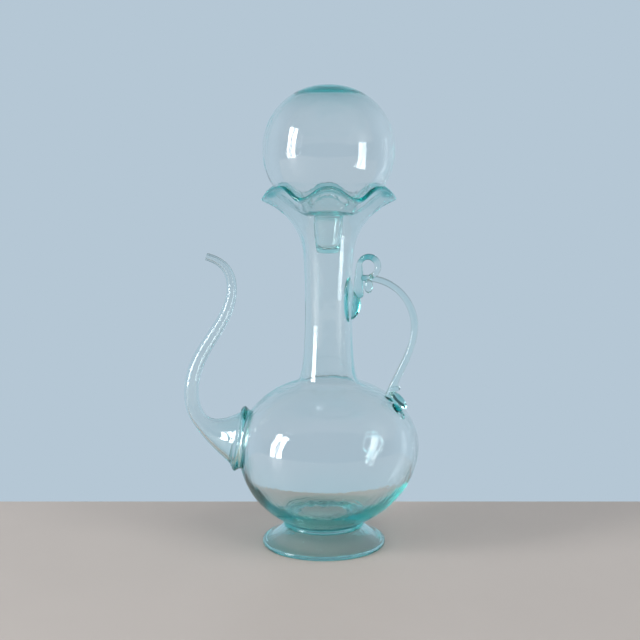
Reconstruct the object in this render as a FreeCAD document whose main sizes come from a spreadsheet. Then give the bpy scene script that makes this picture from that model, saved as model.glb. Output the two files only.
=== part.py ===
"""Hand-blown glass ewer with a hollow ball stopper.

The ewer is one piece of glass: an oblate bulb on a flared hollow foot, a tall waisted neck that
opens into a ruffled lip, a slender spout bent like a swan's neck and a thin rod handle with a curl.
The stopper is a second piece: a hollow ball whose tapered peg hangs in the neck.

Millimetres. The origin is on the table, under the middle of the foot, +Z is up. The spout points
along -X and the handle lies on the +X side, turned a little towards -Y.
"""
import FreeCAD, Part
import math
import os
import Sketcher

# Driving sizes: name, millimetres (or a plain count or angle), meaning.
DRIVING = (
    ("bulb_radius", 77.0, "outer radius of the bulb at its widest"),
    ("bulb_drop", 71.7, "from the widest level down to the bulb's underside"),
    ("bulb_rise", 59.2, "from the widest level up to where the bulb would close"),
    ("bulb_lift", 13.3, "height of the bulb's underside over the table"),
    ("wall", 2.4, "glass of the bulb and neck"),
    ("bulb_floor", 3.6, "glass of the bulb's bottom"),
    ("neck_root", 26.0, "outer radius of the neck on the shoulder"),
    ("waist_rise", 64.0, "from the shoulder up to the neck's waist"),
    ("waist_radius", 19.9, "outer radius of the waist"),
    ("throat_rise", 45.0, "from the waist up to where the flare starts"),
    ("throat_radius", 21.7, "outer radius where the flare starts"),
    ("lip_rise", 50.5, "from the start of the flare up to the middle of the waving rim"),
    ("lip_radius", 51.7, "mean radius of the rim's middle line"),
    ("lip_wave", 5.1, "rise and fall of the rim"),
    ("lip_pinch", 1.8, "how far the crests lean in and the dips lean out"),
    ("lip_sag", 1.2, "how far the rim hangs lower left and right than at front and back"),
    ("lip_waves", 6, "number of waves round the rim"),
    ("lip_glass", 2.0, "glass of the lip"),
    ("rim_bead", 3.2, "thickness of the rounded rim"),
    ("foot_radius", 53.3, "outer radius of the foot"),
    ("foot_shift", 3.8, "how far the foot and collar sit off the bulb's axis, towards the spout"),
    ("foot_glass", 3.4, "glass of the foot's cone"),
    ("foot_bead", 4.8, "height of the foot's rounded edge"),
    ("collar_radius", 33.4, "outer radius of the collar between foot and bulb"),
    ("collar_height", 17.0, "height of the collar's lower end"),
    ("collar_ring", 1.7, "radius of the threads of glass round the collar"),
    ("spout_lift", 5.7, "spout's root over the bulb's widest level"),
    ("spout_reach", 39.6, "from the root out to the spout's lower bend"),
    ("spout_bend", 40.3, "height of the lower bend over the root"),
    ("spout_neck_reach", 4.5, "from the root out to the spout's upper run"),
    ("spout_neck", 129.3, "height of the upper run over the root"),
    ("spout_tip_reach", 24.7, "from the root out to the tip"),
    ("spout_tip", 155.6, "height of the tip over the root"),
    ("spout_flare", 26.8, "outer radius of the spout's root"),
    ("spout_slope", 0.17, "rise of the root's axis for each millimetre out"),
    ("spout_sink", 9.0, "how far the root goes on into the bulb"),
    ("spout_stem", 6.8, "outer radius above the flare"),
    ("spout_end", 3.1, "outer radius at the tip"),
    ("spout_glass", 1.2, "glass of the spout"),
    ("spout_seat", 3.0, "radius of the ring of glass that seals the root"),
    ("handle_turn", 15.0, "degrees that the handle is turned towards -Y"),
    ("handle_rod", 2.95, "radius of the handle's rod"),
    ("handle_reach", 53.6, "from the waist's surface out to the handle's middle line"),
    ("handle_top", 22.0, "height of the rod's start over the waist"),
    ("handle_belly", 15.0, "drop of the outermost point under the waist"),
    ("handle_foot_drop", 13.0, "drop of the lower pad under the shoulder"),
    ("curl_radius", 8.2, "middle line of the curl on the handle"),
    ("curl_rod", 2.7, "radius of the curl's rod"),
    ("curl_gap", 3.8, "clear space between the neck and the curl"),
    ("ball_over", 3.3, "how much wider the stopper's ball is than the rim that it rests on"),
    ("ball_glass", 1.7, "glass of the ball"),
    ("ball_flat", 1.6, "how much lower the ball's flattened top is than a true ball's"),
    ("ball_cap", 4.2, "glass under the flattened top"),
    ("peg_root", 13.3, "outer radius of the peg under the ball"),
    ("peg_end", 10.0, "outer radius of the peg's lower end"),
    ("peg_length", 30.0, "from the ball's underside to the peg's end"),
    ("peg_glass", 2.2, "glass of the peg"),
    ("seat_clearance", 0.3, "air between the ball and the crests of the rim"),
)
KAPPA = 0.5523  # share of the radius at which a Bezier handle makes a quarter ellipse
ROOT_INSET = 3.2  # how far the plane of the spout's seal lies inside the bulb's skin
BORE_OVER = 3  # how far the spout's channel goes on past the tip
SEAM = 100  # degrees round to which the turned forms' seams are moved, clear of spout and handle

doc = FreeCAD.newDocument("ewer")
sheet = doc.addObject("Spreadsheet::Sheet", "sizes")
for row, (name, number, meaning) in enumerate(DRIVING, start=1):
    sheet.set("A%d" % row, meaning)
    sheet.set("B%d" % row, str(number))
    sheet.setAlias("B%d" % row, name)
doc.recompute()


class Size:
    """A length together with the formula, in the sheet's names, that gives it."""

    def __init__(self, value, formula):
        self.value = float(value)
        self.formula = formula

    def __add__(self, other):
        other = sized(other)
        return Size(self.value + other.value, "(%s + %s)" % (self.formula, other.formula))

    def __sub__(self, other):
        other = sized(other)
        return Size(self.value - other.value, "(%s - %s)" % (self.formula, other.formula))

    def __mul__(self, other):
        other = sized(other)
        return Size(self.value * other.value, "%s * %s" % (self.formula, other.formula))

    def __truediv__(self, other):
        other = sized(other)
        return Size(self.value / other.value, "%s / (%s)" % (self.formula, other.formula))

    def __neg__(self):
        return Size(-self.value, "(0 - %s)" % self.formula)

    def __radd__(self, other):
        return sized(other) + self

    def __rsub__(self, other):
        return sized(other) - self

    def __rmul__(self, other):
        return sized(other) * self

    def __rtruediv__(self, other):
        return sized(other) / self


def sized(thing):
    """A plain number as a Size."""
    return thing if isinstance(thing, Size) else Size(thing, repr(float(thing)))


def root(size):
    """Square root of a Size."""
    return Size(math.sqrt(size.value), "sqrt(%s)" % size.formula)


def cell(name):
    """The driving size of that name."""
    return Size(getattr(sheet, name), "sizes.%s" % name)


def bind(thing, **lengths):
    """Binds each named property of thing to the formula of its Size."""
    for name, size in lengths.items():
        thing.setExpression(name, sized(size).formula)


def put(thing, x=0.0, y=0.0, z=0.0, axis=(0, 0, 1), degrees=0.0, swing=0.0):
    """Places thing at x, y, z by formulas, turned about axis, then swings it about the Z axis."""
    turn = FreeCAD.Rotation(FreeCAD.Vector(0, 0, 1), swing)
    turn = turn.multiply(FreeCAD.Rotation(FreeCAD.Vector(*axis), degrees))
    cos, sin = math.cos(math.radians(swing)), math.sin(math.radians(swing))
    x, y, z = sized(x), sized(y), sized(z)
    spot = (x * cos - y * sin, x * sin + y * cos, z) if swing else (x, y, z)
    thing.Placement = FreeCAD.Placement(FreeCAD.Vector(*(value.value for value in spot)), turn)
    for letter, value in zip("xyz", spot):
        thing.setExpression(".Placement.Base.%s" % letter, value.formula)


def on_ellipse(across, along, offset):
    """Radius of an ellipse of half-widths across and along, at that offset along its axis."""
    share = offset / along
    return across * root(1 - share * share)


class Outline:
    """A closed sketch in a body's XZ plane, drawn point by point as (radius, height) pairs."""

    def __init__(self, body, name, start):
        self.sketch = body.newObject("Sketcher::SketchObject", name)
        self.sketch.AttachmentSupport = [(origin_plane(body, "XZ_Plane"), "")]
        self.sketch.MapMode = "FlatFace"
        self.start = tuple(sized(value) for value in start)
        self.here = self.start
        self.first = None
        self.last = None

    def constrain(self, *parts):
        return self.sketch.addConstraint(Sketcher.Constraint(*parts))

    def fix(self, geometry, corner, point):
        """Ties one corner of a piece of geometry to a (radius, height) pair."""
        for kind, axis, size in (("DistanceX", -2, point[0]), ("DistanceY", -1, point[1])):
            if size.value == 0:
                self.constrain("PointOnObject", geometry, corner, axis)
                continue
            number = self.constrain(kind, -1, 1, geometry, corner, size.value)
            self.sketch.setExpression("Constraints[%d]" % number, size.formula)

    def join(self, geometry, closing):
        """Joins a new piece to the one before it, and to the first piece if it closes the outline."""
        if self.last is None:
            self.first = geometry
        else:
            self.constrain("Coincident", self.last, 2, geometry, 1)
        if closing:
            self.constrain("Coincident", geometry, 2, self.first, 1)
        self.last = geometry

    def line(self, *point, closing=False):
        """Straight on to a point."""
        point = self.start if closing else tuple(sized(value) for value in point)
        ends = [FreeCAD.Vector(place[0].value, place[1].value, 0) for place in (self.here, point)]
        geometry = self.sketch.addGeometry(Part.LineSegment(*ends), False)
        if self.last is None:
            self.fix(geometry, 1, self.here)
        if not closing:
            self.fix(geometry, 2, point)
        self.join(geometry, closing)
        self.here = point

    def curve(self, leave, arrive, point):
        """A cubic Bezier curve to a point, with its two handles."""
        poles = [self.here] + [tuple(sized(value) for value in pole) for pole in (leave, arrive, point)]
        vectors = [FreeCAD.Vector(pole[0].value, pole[1].value, 0) for pole in poles]
        spline = Part.BSplineCurve()
        spline.buildFromPolesMultsKnots(vectors, [4, 4], [0, 1], False, 3)
        geometry = self.sketch.addGeometry(spline, False)
        for index, vector in enumerate(vectors):
            circle = Part.Circle(vector, FreeCAD.Vector(0, 0, 1), 1)
            handle = self.sketch.addGeometry(circle, True)
            self.constrain("InternalAlignment:Sketcher::BSplineControlPoint", handle, 3, geometry, index)
            self.constrain("Weight", handle, 1.0)
            if index > 0 or self.last is None:
                self.fix(handle, 3, poles[index])
        self.join(geometry, False)
        self.here = poles[-1]

    def revolve(self, body, name):
        """Turns the outline once round the Z axis."""
        turned = body.newObject("PartDesign::Revolution", name)
        turned.Profile = self.sketch
        turned.ReferenceAxis = (self.sketch, ["V_Axis"])
        turned.Angle = 360
        self.sketch.Visibility = False
        return turned


def origin_plane(body, role):
    """The origin plane of a body with that role."""
    return next(plane for plane in body.Origin.OriginFeatures if plane.Role == role)


def new_body(name):
    """An empty body."""
    return doc.addObject("PartDesign::Body", name)


def joined(name, pieces):
    """One solid of several pieces, fused one after another."""
    whole = pieces[0]
    for number, piece in enumerate(pieces[1:], start=1):
        fuse = doc.addObject("Part::Fuse", name if number == len(pieces) - 1 else "%s_%d" % (name, number))
        fuse.Refine = False
        fuse.Base = whole
        fuse.Tool = piece
        whole = fuse
    return whole


def cut(name, base, tool):
    """One solid less another."""
    less = doc.addObject("Part::Cut", name)
    less.Refine = False
    less.Base = base
    less.Tool = tool
    return less


def ellipsoid(name, along_x, along_y, along_z):
    """A solid ellipsoid with those three half-widths."""
    egg = doc.addObject("Part::Ellipsoid", name)
    bind(egg, Radius1=along_z, Radius2=along_x, Radius3=along_y)
    return egg


def bezier_point(poles, share):
    """Point of a cubic Bezier curve, by Bernstein's formula, on poles of Sizes."""
    back = 1 - share
    weights = (back ** 3, 3 * share * back ** 2, 3 * share ** 2 * back, share ** 3)
    return tuple(
        weights[0] * poles[0][axis] + weights[1] * poles[1][axis]
        + weights[2] * poles[2][axis] + weights[3] * poles[3][axis]
        for axis in (0, 1)
    )


def bezier_heading(poles, share):
    """Angle in degrees, from +X towards +Z, in which a cubic Bezier curve heads."""
    back = 1 - share
    weights = (back ** 2, 2 * share * back, share ** 2)
    steps = [
        sum(weight * (poles[number + 1][axis].value - poles[number][axis].value)
            for number, weight in enumerate(weights))
        for axis in (0, 1)
    ]
    return math.degrees(math.atan2(steps[1], steps[0]))


def rod(name, stations):
    """A round rod along the XZ plane: a loft through circles, each (x, z, heading, radius, side).

    The heading is in degrees from +X towards +Z, and side is the circle's shift along Y.
    """
    body = new_body(name)
    circles = []
    for number, (x, z, heading, radius, side) in enumerate(stations):
        sketch = body.newObject("Sketcher::SketchObject", "%s_circle_%d" % (name, number))
        sketch.AttachmentSupport = [(origin_plane(body, "XY_Plane"), "")]
        sketch.MapMode = "FlatFace"
        turn = FreeCAD.Rotation(FreeCAD.Vector(0, 1, 0), 90 - heading)
        sketch.AttachmentOffset = FreeCAD.Placement(FreeCAD.Vector(x.value, side, z.value), turn)
        sketch.setExpression(".AttachmentOffset.Base.x", x.formula)
        sketch.setExpression(".AttachmentOffset.Base.z", z.formula)
        circle = sketch.addGeometry(Part.Circle(FreeCAD.Vector(), FreeCAD.Vector(0, 0, 1), radius.value))
        sketch.addConstraint(Sketcher.Constraint("Coincident", circle, 3, -1, 1))
        width = sketch.addConstraint(Sketcher.Constraint("Radius", circle, radius.value))
        sketch.setExpression("Constraints[%d]" % width, radius.formula)
        sketch.Visibility = False
        circles.append(sketch)
    loft = body.newObject("PartDesign::AdditiveLoft", "%s_loft" % name)
    loft.Profile = circles[0]
    loft.Sections = circles[1:]
    loft.Ruled = False
    return body


# Levels that several pieces share.
bulb_level = cell("bulb_lift") + cell("bulb_drop")
shoulder = bulb_level + on_ellipse(cell("bulb_rise"), cell("bulb_radius"), cell("neck_root"))
waist = shoulder + cell("waist_rise")
throat = waist + cell("throat_rise")
rim_level = throat + cell("lip_rise")
ball_radius = cell("lip_radius") + cell("ball_over")
spout_level = bulb_level + cell("spout_lift")
spout_root = on_ellipse(cell("bulb_radius"), cell("bulb_rise"), cell("spout_lift"))


def vessel_outline(body, name, skin, floor):
    """Outline of the bulb and neck, taken in by a skin of glass, and by floor at the bottom."""
    wide = cell("bulb_radius") - skin
    drop = cell("bulb_drop") - floor
    rise = cell("bulb_rise") - skin
    neck = cell("neck_root") - skin
    waist_at = cell("waist_radius") - skin
    throat_at = cell("throat_radius") - skin
    corner = on_ellipse(rise, wide, neck)  # height of the shoulder over the widest level
    # Handle length of the upper arc: 4/3 tan(a/4), with a its angle and cos(a) = neck / wide.
    half = root((wide - neck) / (wide + neck))
    reach = 4 / 3 * (root(1 + half * half) - 1) / half
    outline = Outline(body, name, (0, bulb_level - drop))
    outline.curve(
        (wide * KAPPA, bulb_level - drop), (wide, bulb_level - drop * KAPPA), (wide, bulb_level)
    )
    outline.curve(
        (wide, bulb_level + rise * reach),
        (neck + corner / rise * wide * reach, bulb_level + corner - neck / wide * rise * reach),
        (neck, bulb_level + corner),
    )
    outline.curve(
        (neck - (neck - waist_at) * 0.75, bulb_level + corner + cell("waist_rise") * 0.09),
        (waist_at, waist - cell("waist_rise") * 0.45),
        (waist_at, waist),
    )
    outline.curve(
        (waist_at, waist + cell("throat_rise") * 0.4),
        (throat_at - cell("throat_rise") * 0.022, throat - cell("throat_rise") * 0.3),
        (throat_at, throat),
    )
    return outline


def make_vessel(name, skin, floor, over):
    """The bulb and neck as a filled form. It is cut flat at the throat, or goes on over it by over."""
    body = new_body(name)
    outline = vessel_outline(body, name + "_outline", skin, floor)
    if over:
        outline.line(cell("throat_radius") - skin, throat + over)
        outline.line(0, throat + over)
    else:
        outline.line(0, throat)
    outline.line(closing=True)
    outline.revolve(body, name + "_turned")
    put(body, degrees=SEAM)
    return body


def make_foot():
    """The flared hollow foot: a cone with a rounded edge, flat where it stands, and a collar."""
    bead = cell("foot_bead")
    outer = cell("foot_radius")
    collar = cell("collar_radius")
    level = cell("collar_height")
    glass = cell("foot_glass")
    body = new_body("foot")
    outline = Outline(body, "foot_outline", (outer - bead * 0.75, 0))
    outline.line(outer - bead * 0.35, 0)
    outline.curve((outer, 0), (outer, bead), (outer - bead * 0.6, bead))
    outline.curve(
        (outer - bead * 1.6, bead + 0.6), (collar + 3.2, level - 3.2), (collar, level)
    )
    outline.line(collar, level + 7)
    outline.line(collar - 12, level + 7)
    outline.line(collar - 12, level - glass * 0.4)
    outline.curve(
        (collar - 2, level - glass), (outer - bead * 2.2, bead - glass * 0.5),
        (outer - bead * 1.15, bead * 0.3),
    )
    outline.line(closing=True)
    outline.revolve(body, "foot_turned")
    aside = -cell("foot_shift")
    put(body, x=aside, degrees=SEAM)
    threads = []
    for number in range(2):
        thread = doc.addObject("Part::Torus", "collar_thread_%d" % (number + 1))
        bind(thread, Radius1=collar + 0.5 + number * 0.8, Radius2=cell("collar_ring"))
        put(thread, x=aside, z=level + 1.4 + number * 3.4)
        threads.append(thread)
    return [body] + threads


def spout_stations(mouth, skin):
    """The spout's circles from inside the bulb to its tip, taken in by a skin of glass.

    The middle line is straight through the root, and then three Bezier curves: out and up to the
    lower bend, across to the upper run, and over to the tip. With s the share of the way along the
    curves, the radius is tip + (stem - tip)(1 - s^1.7), and over the first fifth of the way the
    root's flare comes on top as (mouth - stem)(1 - 5s)^1.5.
    """
    def at(reach, height):
        return (-(spout_root + reach), spout_level + height)

    slope = cell("spout_slope")
    sink = cell("spout_sink")
    lean = cell("spout_reach") * 0.6
    start = at(-ROOT_INSET, 0)
    bend = at(cell("spout_reach"), cell("spout_bend"))
    upper = at(cell("spout_neck_reach"), cell("spout_neck"))
    tip = at(cell("spout_tip_reach"), cell("spout_tip"))
    runs = (
        (start, at(lean, (lean + ROOT_INSET) * slope), (bend[0], bend[1] - cell("spout_bend") * 0.65),
         bend),
        (bend, (bend[0], bend[1] + (upper[1] - bend[1]) * 0.42),
         (upper[0], upper[1] - (upper[1] - bend[1]) * 0.36), upper),
        (upper, (upper[0], upper[1] + (tip[1] - upper[1]) * 0.55),
         (tip[0] + (upper[0] - tip[0]) * 0.66, tip[1] - (tip[1] - upper[1]) * 0.14), tip),
    )
    along = (
        (0, (0.0, 0.08, 0.17, 0.27, 0.38, 0.5, 0.64, 0.8)),
        (1, (0.0, 0.2, 0.4, 0.6, 0.8)),
        (2, (0.0, 0.25, 0.5, 0.75, 1.0)),
    )
    lengths = [curve_length(run) for run in runs]
    heading = bezier_heading(runs[0], 0.0)
    stations = [(*at(-(sink + ROOT_INSET), -(sink * slope)), heading, mouth - skin - 1, 0)]
    for run, shares in along:
        for share in shares:
            gone = (sum(lengths[:run]) + lengths[run] * share) / sum(lengths)
            flare = max(0.0, 1 - 5 * gone) ** 1.5
            radius = (
                cell("spout_end") + (cell("spout_stem") - cell("spout_end")) * (1 - gone ** 1.7)
                + (mouth - cell("spout_stem")) * flare - skin
            )
            x, z = bezier_point(runs[run], share)
            stations.append((x, z, bezier_heading(runs[run], share), radius, 0))
    return stations


def curve_length(poles):
    """Length of a Bezier curve, between its chord and its poles' way, near enough to share it out."""
    places = [(pole[0].value, pole[1].value) for pole in poles]
    way = sum(math.dist(places[number], places[number + 1]) for number in range(3))
    return (way + math.dist(places[0], places[3])) / 2


def make_spout():
    """The spout, filled, with the ring of glass that seals its root to the bulb."""
    spout = rod("spout", spout_stations(cell("spout_flare"), sized(0)))
    seat = doc.addObject("Part::Torus", "spout_seal")
    bind(seat, Radius1=cell("spout_flare") - cell("spout_seat") * 0.6, Radius2=cell("spout_seat"))
    tilt = math.degrees(math.atan(cell("spout_slope").value))
    put(seat, -(spout_root - ROOT_INSET), 0, spout_level, (0, 1, 0), 90 + tilt)
    return [spout, seat]


def make_bore():
    """The spout's channel, longer than the spout at both ends."""
    stations = spout_stations(cell("spout_flare") - cell("spout_seat"), cell("spout_glass"))
    last = stations[-1]
    heading = math.radians(last[2])
    past = BORE_OVER * math.cos(heading), BORE_OVER * math.sin(heading)
    outside = (last[0] + past[0], last[1] + past[1], last[2], last[3], 0)
    return rod("bore", stations + [outside])


def make_lip():
    """The ruffled lip as one smooth ring of glass whose root sits in the neck's wall.

    Round the axis, at angle a, the rim's middle line is at height
    rim_level - wave cos(n a) - sag cos(2 a) and radius lip_radius + pinch cos(n a). In the plane of each angle the lip's middle line is a Bezier
    curve from the throat to the rim. The ring's skin is a closed cubic spline whose poles go up one
    side of that line, round the rim and down the other side.
    """
    waves = int(cell("lip_waves").value)
    per_wave = 8
    columns = waves * per_wave
    # A cubic spline runs inside its poles. These factors push the poles out by as much.
    round_gain = 3 / (2 + math.cos(2 * math.pi / columns))
    wave_gain = 3 / (2 + math.cos(2 * math.pi / per_wave))
    glass = cell("lip_glass").value
    bead = cell("rim_bead").value
    root_radius = (cell("throat_radius") - cell("wall") / 2).value
    shares = (0.0, 0.14, 0.28, 0.42, 0.56, 0.7, 0.84, 0.95)
    poles = []
    for column in range(columns):
        angle = 2 * math.pi * (column + 2 * per_wave) / columns  # the seam lies at the back
        swing = wave_gain * math.cos(waves * angle)
        rim = (
            (cell("lip_radius") + cell("lip_pinch") * swing).value,
            (rim_level - cell("lip_wave") * swing - cell("lip_sag") * math.cos(2 * angle)).value,
        )
        depth = cell("lip_rise").value
        line = (
            (root_radius, throat.value - 3.5),
            (root_radius + 0.04 * depth, throat.value + 0.34 * depth),
            (root_radius + 0.21 * depth, rim_level.value - 0.31 * depth - 0.2 * (rim_level.value - rim[1])),
            rim,
        )
        half = [min(glass, bead) / 2 * (0.55 + 0.45 * min(1, share * 4)) for share in shares]
        outside, inside = offset_line(line, shares, half)
        ahead = heading_of(line, 1.0)
        side = (ahead[1], -ahead[0])
        cap = [
            (rim[0] + bead * (0.62 * side[0] * turn + 0.72 * ahead[0] * lead),
             rim[1] + bead * (0.62 * side[1] * turn + 0.72 * ahead[1] * lead))
            for turn, lead in ((1, 0), (0.75, 0.8), (0, 1), (-0.75, 0.8), (-1, 0))
        ]
        section = outside + cap + inside[::-1]
        poles.append([
            FreeCAD.Vector(r * round_gain * math.cos(angle), r * round_gain * math.sin(angle), z)
            for r, z in section
        ])
    rows = len(poles[0])
    skin = Part.BSplineSurface()
    skin.buildFromPolesMultsKnots(
        poles, [1] * (columns + 1), [1] * (rows + 1), list(range(columns + 1)), list(range(rows + 1)),
        True, True, 3, 3,
    )
    lip = doc.addObject("Part::Feature", "lip")
    lip.Shape = Part.Solid(Part.Shell([skin.toShape()]))
    return lip


def heading_of(line, share):
    """Unit direction of a cubic Bezier curve of plain (radius, height) pairs."""
    back = 1 - share
    weights = (back ** 2, 2 * share * back, share ** 2)
    step = [
        sum(weight * (line[number + 1][axis] - line[number][axis]) for number, weight in enumerate(weights))
        for axis in (0, 1)
    ]
    length = math.hypot(*step)
    return step[0] / length, step[1] / length


def offset_line(line, shares, half):
    """Points along a Bezier curve, moved by half a thickness to its outer and to its inner side."""
    outside = []
    inside = []
    for share, thickness in zip(shares, half):
        back = 1 - share
        weights = (back ** 3, 3 * share * back ** 2, 3 * share ** 2 * back, share ** 3)
        r, z = (sum(weight * pole[axis] for weight, pole in zip(weights, line)) for axis in (0, 1))
        ahead = heading_of(line, share)
        outside.append((r + ahead[1] * thickness, z - ahead[0] * thickness))
        inside.append((r - ahead[1] * thickness, z + ahead[0] * thickness))
    return outside, inside


def make_handle():
    """The rod handle, drawn from one thread of glass.

    From its lower pad on the shoulder the bow rises, swings in to the neck and is pressed onto it
    under a leaf-shaped pad. The thread goes on up the neck as a strap, curls over outwards and comes
    down beside the bow, where it ends in a bead.
    """
    swing = -cell("handle_turn").value
    thick = cell("handle_rod")
    curl = cell("curl_radius")
    curl_rod = cell("curl_rod")
    neck = cell("waist_radius")
    top = waist + cell("handle_top")
    strap_at = neck + cell("curl_gap") + curl_rod
    middle = (strap_at + curl, top + curl_rod + curl + 1.5)
    belly = (neck + cell("handle_reach"), waist - cell("handle_belly"))
    foot_level = shoulder - cell("handle_foot_drop")
    foot_at = on_ellipse(cell("bulb_radius"), cell("bulb_rise"), foot_level - bulb_level)
    end = (foot_at - 1.5, foot_level - 1)
    start = (strap_at, top + 2.5)
    upper = (start, (start[0] + (belly[0] - start[0]) * 0.62, top + 5.5), (belly[0], belly[1] + 22), belly)
    lower = (belly, (belly[0], belly[1] - 22), (end[0] + 3.5, end[1] + 18), end)
    bow = rod("handle_bow", [
        (*bezier_point(run, share), bezier_heading(run, share), thick + swell, 0)
        for run, share, swell in (
            (upper, 0.0, 0.3), (upper, 0.2, 0.1), (upper, 0.4, 0.0), (upper, 0.7, 0.0),
            (lower, 0.0, 0.0), (lower, 0.25, 0.0), (lower, 0.5, 0.0), (lower, 0.75, 0.0),
            (lower, 0.92, 0.4), (lower, 1.0, 1.2),
        )
    ])
    strap = rod("handle_strap", [
        (neck - 0.5, top - 31, 90, sized(1.6), 0),
        (neck + 2.0, top - 22, 82, sized(4.0), 0),
        (strap_at - 0.6, top - 11, 88, sized(4.3), 0),
        (strap_at - 0.4, top, 90, sized(4.0), 0),
        (strap_at, top + 8, 90, sized(3.3), 0),
        (strap_at, middle[1] + 0.5, 90, curl_rod, 0),
    ])
    turns = [180 - 25 * step for step in range(11)]
    loop = rod("handle_curl", [
        (
            middle[0] + curl * math.cos(math.radians(turn)),
            middle[1] + curl * math.sin(math.radians(turn)),
            turn - 90,
            curl_rod + 0.15,
            -3.4 * (180 - turn) / 250,
        )
        for turn in turns
    ])
    bead = ellipsoid("handle_bead", sized(3.7), sized(3.7), sized(6.0))
    put(bead, middle[0] + 0.5, -3.4, middle[1] - curl - 5.8, swing=swing)
    leaf = ellipsoid("handle_leaf", sized(3.4), sized(10.5), sized(19))
    put(leaf, neck - 1.2, -4.5, top - 15, swing=swing)
    sole = ellipsoid("handle_sole", sized(12.5), sized(8.5), sized(3.8))
    put(sole, foot_at + 5.6, 0.3, foot_level - 3.4, (0, 1, 0), 42, swing)
    crimp = ellipsoid("handle_crimp", sized(4.6), sized(5.5), sized(2.6))
    put(crimp, foot_at + 4.2, 0.2, foot_level + 3.6, (0, 1, 0), 8, swing)
    for thread in (bow, strap, loop):
        put(thread, swing=swing)
    return [leaf, strap, bow, loop, bead, sole, crimp]


def make_stopper():
    """The stopper: a hollow ball with a thick flattened top and a closed tapered peg.

    The ball rests on the rim's highest crests, at front and back, so its middle stands where the
    two rounds touch. A crest's bead is a little more than half as thick to either side.
    """
    ball = ball_radius
    crest_radius = cell("lip_radius") - cell("lip_pinch")
    crest_level = rim_level + cell("lip_wave") + cell("lip_sag")
    reach = ball + cell("rim_bead") * 0.64 + cell("seat_clearance")
    middle = crest_level + on_ellipse(reach, reach, crest_radius)
    under = middle - ball
    end = under - cell("peg_length")
    glass = cell("ball_glass")
    body = new_body("stopper")

    def ball_curves(outline, radius, mouth, top, upward):
        """The ball's side from its mouth at the peg to its top, or back down."""
        mouth_drop = on_ellipse(radius, radius, mouth)
        half = root((radius - mouth) / (radius + mouth))
        reach = 4 / 3 * (root(1 + half * half) - 1) / half
        low = (mouth, middle - mouth_drop)
        low_handle = (
            mouth + mouth_drop * reach, middle - mouth_drop + mouth * reach,
        )
        side_low = (radius, middle - radius * reach)
        side = (radius, middle)
        side_high = (radius, middle + (top - middle) * KAPPA)
        high_handle = (radius * 0.6, top)
        if upward:
            outline.curve(low_handle, side_low, side)
            outline.curve(side_high, high_handle, (0, top))
        else:
            outline.curve(high_handle, side_high, side)
            outline.curve(side_low, low_handle, low)

    top = middle + ball - cell("ball_flat")
    peg_bore = cell("peg_root") - cell("peg_glass")
    mouth_level = middle - on_ellipse(ball, ball, cell("peg_root"))
    outline = Outline(body, "stopper_outline", (0, end))
    outline.line(cell("peg_end") - 2, end)
    outline.curve((cell("peg_end") - 0.7, end), (cell("peg_end"), end + 0.8), (cell("peg_end"), end + 2.4))
    outline.line(cell("peg_root"), mouth_level)
    ball_curves(outline, ball, cell("peg_root"), top, True)
    outline.line(0, top - cell("ball_cap"))
    ball_curves(outline, ball - glass, peg_bore, top - cell("ball_cap"), False)
    floor = end + cell("peg_glass") * 1.5
    outline.line(cell("peg_end") - cell("peg_glass"), floor + 3)
    outline.curve(
        (cell("peg_end") - cell("peg_glass"), floor + 1), (cell("peg_end") * 0.45, floor), (0, floor)
    )
    outline.line(closing=True)
    outline.revolve(body, "stopper_turned")
    return body


filled = make_vessel("vessel", sized(0), sized(0), 0)
cavity = make_vessel("cavity", cell("wall"), cell("bulb_floor"), 1)
glass = joined("glass", [filled, make_lip()] + make_handle() + make_spout() + make_foot())
ewer = cut("ewer", cut("bulb", glass, cavity), make_bore())
stopper = make_stopper()
doc.recompute()

# Every feature has to stand before anything is written.
for thing in doc.Objects:
    if "Invalid" in thing.State or "Error" in thing.State:
        raise RuntimeError("%s failed: %s" % (thing.Label, thing.State))
os.makedirs("parts", exist_ok=True)
for piece in (ewer, stopper):
    shape = piece.Shape
    if shape.isNull() or not shape.isValid() or len(shape.Solids) != 1:
        raise RuntimeError("%s is not one valid solid" % piece.Label)
    shape.exportStep(os.path.join("parts", piece.Label + ".step"))
    print("%s: %.1f cm3, box %s" % (piece.Label, shape.Volume / 1000, shape.BoundBox))
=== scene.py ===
"""Hand-blown glass ewer with a hollow ball stopper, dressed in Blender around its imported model.

The ewer is one closed skin of glass: a hollow bulb and neck with a ruffled lip, a foot, a hollow
swan-neck spout and a rod handle with a curl, each worked out as a surface and melted together by
booleans. The stopper is a second closed skin. Lengths are millimetres until a mesh is made.
"""
import math

import bpy
import numpy as np
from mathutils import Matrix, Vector


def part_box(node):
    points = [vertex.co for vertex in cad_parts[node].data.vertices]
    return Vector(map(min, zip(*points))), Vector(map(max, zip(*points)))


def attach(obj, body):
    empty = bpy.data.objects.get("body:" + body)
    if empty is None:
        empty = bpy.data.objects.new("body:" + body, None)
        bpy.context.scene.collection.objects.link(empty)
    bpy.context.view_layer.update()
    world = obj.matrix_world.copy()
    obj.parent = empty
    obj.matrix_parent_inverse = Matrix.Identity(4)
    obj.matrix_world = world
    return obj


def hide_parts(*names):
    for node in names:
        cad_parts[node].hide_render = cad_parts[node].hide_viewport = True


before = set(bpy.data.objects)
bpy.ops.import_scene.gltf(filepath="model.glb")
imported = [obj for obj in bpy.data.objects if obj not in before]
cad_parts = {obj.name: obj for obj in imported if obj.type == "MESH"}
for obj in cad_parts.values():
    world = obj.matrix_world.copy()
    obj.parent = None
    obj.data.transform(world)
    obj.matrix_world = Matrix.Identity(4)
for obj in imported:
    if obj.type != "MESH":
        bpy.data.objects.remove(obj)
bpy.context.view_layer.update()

MM = 0.001
TURN = 2 * math.pi

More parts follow.
